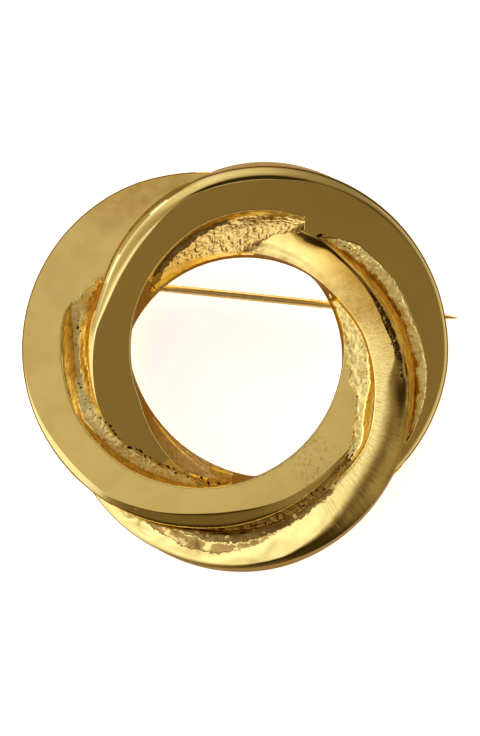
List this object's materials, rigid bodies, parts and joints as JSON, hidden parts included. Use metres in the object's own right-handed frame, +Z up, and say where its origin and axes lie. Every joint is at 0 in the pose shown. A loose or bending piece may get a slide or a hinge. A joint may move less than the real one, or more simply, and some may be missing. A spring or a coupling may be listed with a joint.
{
  "type": "circle pin brooch",
  "caption": "Open circle pin brooch cast as flat tilted rings that overlap in a swirl, with a hinged pin stem and an open catch behind.",
  "frame": {"origin": "on the surface the brooch lies on, under the middle of the brooch with its pin stem", "axes": "+Z up, +X to the right along the brooch's width towards the pin stem's tip, +Y to the brooch's upper side, where the pin stem is. The brooch lies face up on its hinge, its catch and the lower edge of its back, so its back is tilted by 6.5 degrees about the pin stem's direction."},
  "size_m": [0.0524, 0.0482, 0.0108],
  "materials": {
    "gold_casting": "polished and cross-brushed gold plate on a casting, pitted in the gaps",
    "gold_findings": "satin gold plate",
    "gold_wire": "polished gold plate on drawn wire"
  },
  "bodies": {
    "brooch": {"ring": "gold_casting", "hinge_rivet": "gold_findings"},
    "pin": {"pin_stem": "gold_wire"}
  },
  "joints": [
    {"name": "pin_hinge", "type": "hinge", "parent": "brooch", "child": "pin", "pos_m": [-0.01911, 0.01074, 0.00113], "axis": [0.1014, 0.9882, 0.1145], "range_deg": [0, 100]}
  ]
}
